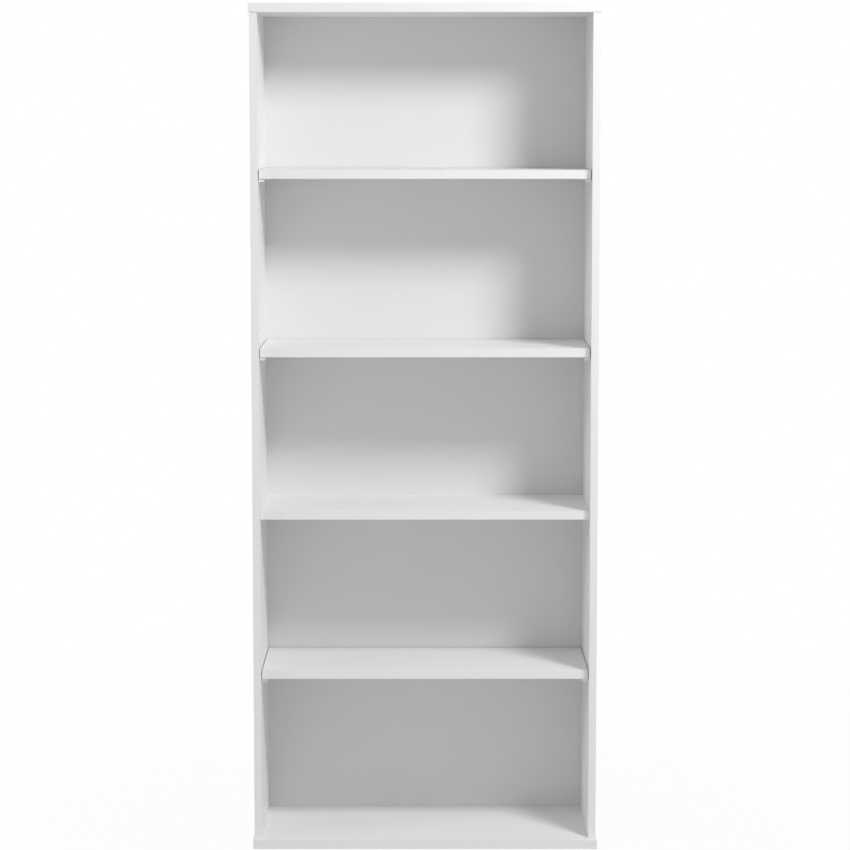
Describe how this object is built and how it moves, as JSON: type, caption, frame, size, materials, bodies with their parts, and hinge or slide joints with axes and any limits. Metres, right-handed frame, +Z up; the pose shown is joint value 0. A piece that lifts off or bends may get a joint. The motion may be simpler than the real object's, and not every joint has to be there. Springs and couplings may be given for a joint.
{
  "type": "bookcase with adjustable shelves",
  "caption": "Tall open-fronted laminated-board bookcase with a fixed middle shelf and loose shelves resting on removable pins in rows of holes.",
  "frame": {"origin": "on the floor, in the middle of the footprint", "axes": "+Z up, +X to the right as seen from the front, +Y to the back; the open front faces -Y"},
  "size_m": [0.75, 0.2962, 1.828],
  "materials": {
    "carcass_laminate": "satin white melamine laminate on particle board",
    "shelf_laminate": "satin white melamine laminate on particle board",
    "back_board": "matt white printed face on thin fibreboard",
    "pin_plastic": "white moulded plastic",
    "cam_zinc": "dull die-cast zinc",
    "bolt_steel": "zinc-plated steel",
    "dowel_beech": "bare fluted beech"
  },
  "bodies": {
    "carcass": {"left_side": "carcass_laminate", "right_side": "carcass_laminate", "top_panel": "carcass_laminate", "bottom_panel": "carcass_laminate", "fixed_shelf": "shelf_laminate", "upper_back_sheet": "back_board", "lower_back_sheet": "back_board", "cam_lock_top_left_front": "cam_zinc", "cam_lock_top_left_rear": "cam_zinc", "cam_lock_top_right_front": "cam_zinc", "cam_lock_top_right_rear": "cam_zinc", "cam_lock_bottom_left_front": "cam_zinc", "cam_lock_bottom_left_rear": "cam_zinc", "cam_lock_bottom_right_front": "cam_zinc", "cam_lock_bottom_right_rear": "cam_zinc", "cam_lock_middle_left_front": "cam_zinc", "cam_lock_middle_left_rear": "cam_zinc", "cam_lock_middle_right_front": "cam_zinc", "cam_lock_middle_right_rear": "cam_zinc", "cam_bolt_top_left_front": "bolt_steel", "cam_bolt_top_left_rear": "bolt_steel", "cam_bolt_top_right_front": "bolt_steel", "cam_bolt_top_right_rear": "bolt_steel", "cam_bolt_bottom_left_front": "bolt_steel", "cam_bolt_bottom_left_rear": "bolt_steel", "cam_bolt_bottom_right_front": "bolt_steel", "cam_bolt_bottom_right_rear": "bolt_steel", "cam_bolt_middle_left_front": "bolt_steel", "cam_bolt_middle_left_rear": "bolt_steel", "cam_bolt_middle_right_front": "bolt_steel", "cam_bolt_middle_right_rear": "bolt_steel", "dowel_top_left": "dowel_beech", "dowel_top_right": "dowel_beech", "dowel_bottom_left": "dowel_beech", "dowel_bottom_right": "dowel_beech", "dowel_middle_left": "dowel_beech", "dowel_middle_right": "dowel_beech"},
    "upper_shelf": {"upper_shelf": "shelf_laminate"},
    "middle_shelf": {"middle_shelf": "shelf_laminate"},
    "lower_shelf": {"lower_shelf": "shelf_laminate"},
    "upper_pin_front_left": {"upper_pin_front_left": "pin_plastic"},
    "upper_pin_front_right": {"upper_pin_front_right": "pin_plastic"},
    "upper_pin_rear_left": {"upper_pin_rear_left": "pin_plastic"},
    "upper_pin_rear_right": {"upper_pin_rear_right": "pin_plastic"},
    "middle_pin_front_left": {"middle_pin_front_left": "pin_plastic"},
    "middle_pin_front_right": {"middle_pin_front_right": "pin_plastic"},
    "middle_pin_rear_left": {"middle_pin_rear_left": "pin_plastic"},
    "middle_pin_rear_right": {"middle_pin_rear_right": "pin_plastic"},
    "lower_pin_front_left": {"lower_pin_front_left": "pin_plastic"},
    "lower_pin_front_right": {"lower_pin_front_right": "pin_plastic"},
    "lower_pin_rear_left": {"lower_pin_rear_left": "pin_plastic"},
    "lower_pin_rear_right": {"lower_pin_rear_right": "pin_plastic"}
  },
  "joints": [
    {"name": "upper_shelf_lift", "type": "slide", "parent": "carcass", "child": "upper_shelf", "axis": [0, 0, 1], "range_m": [0, 0.332]},
    {"name": "middle_shelf_lift", "type": "slide", "parent": "carcass", "child": "middle_shelf", "axis": [0, 0, 1], "range_m": [0, 0.356]},
    {"name": "lower_shelf_lift", "type": "slide", "parent": "carcass", "child": "lower_shelf", "axis": [0, 0, 1], "range_m": [0, 0.331]},
    {"name": "upper_pin_front_left_pull", "type": "slide", "parent": "carcass", "child": "upper_pin_front_left", "axis": [1, 0, 0], "range_m": [0, 0.0095]},
    {"name": "upper_pin_front_right_pull", "type": "slide", "parent": "carcass", "child": "upper_pin_front_right", "axis": [-1, 0, 0], "range_m": [0, 0.0095]},
    {"name": "upper_pin_rear_left_pull", "type": "slide", "parent": "carcass", "child": "upper_pin_rear_left", "axis": [1, 0, 0], "range_m": [0, 0.0095]},
    {"name": "upper_pin_rear_right_pull", "type": "slide", "parent": "carcass", "child": "upper_pin_rear_right", "axis": [-1, 0, 0], "range_m": [0, 0.0095]},
    {"name": "middle_pin_front_left_pull", "type": "slide", "parent": "carcass", "child": "middle_pin_front_left", "axis": [1, 0, 0], "range_m": [0, 0.0095]},
    {"name": "middle_pin_front_right_pull", "type": "slide", "parent": "carcass", "child": "middle_pin_front_right", "axis": [-1, 0, 0], "range_m": [0, 0.0095]},
    {"name": "middle_pin_rear_left_pull", "type": "slide", "parent": "carcass", "child": "middle_pin_rear_left", "axis": [1, 0, 0], "range_m": [0, 0.0095]},
    {"name": "middle_pin_rear_right_pull", "type": "slide", "parent": "carcass", "child": "middle_pin_rear_right", "axis": [-1, 0, 0], "range_m": [0, 0.0095]},
    {"name": "lower_pin_front_left_pull", "type": "slide", "parent": "carcass", "child": "lower_pin_front_left", "axis": [1, 0, 0], "range_m": [0, 0.0095]},
    {"name": "lower_pin_front_right_pull", "type": "slide", "parent": "carcass", "child": "lower_pin_front_right", "axis": [-1, 0, 0], "range_m": [0, 0.0095]},
    {"name": "lower_pin_rear_left_pull", "type": "slide", "parent": "carcass", "child": "lower_pin_rear_left", "axis": [1, 0, 0], "range_m": [0, 0.0095]},
    {"name": "lower_pin_rear_right_pull", "type": "slide", "parent": "carcass", "child": "lower_pin_rear_right", "axis": [-1, 0, 0], "range_m": [0, 0.0095]}
  ]
}
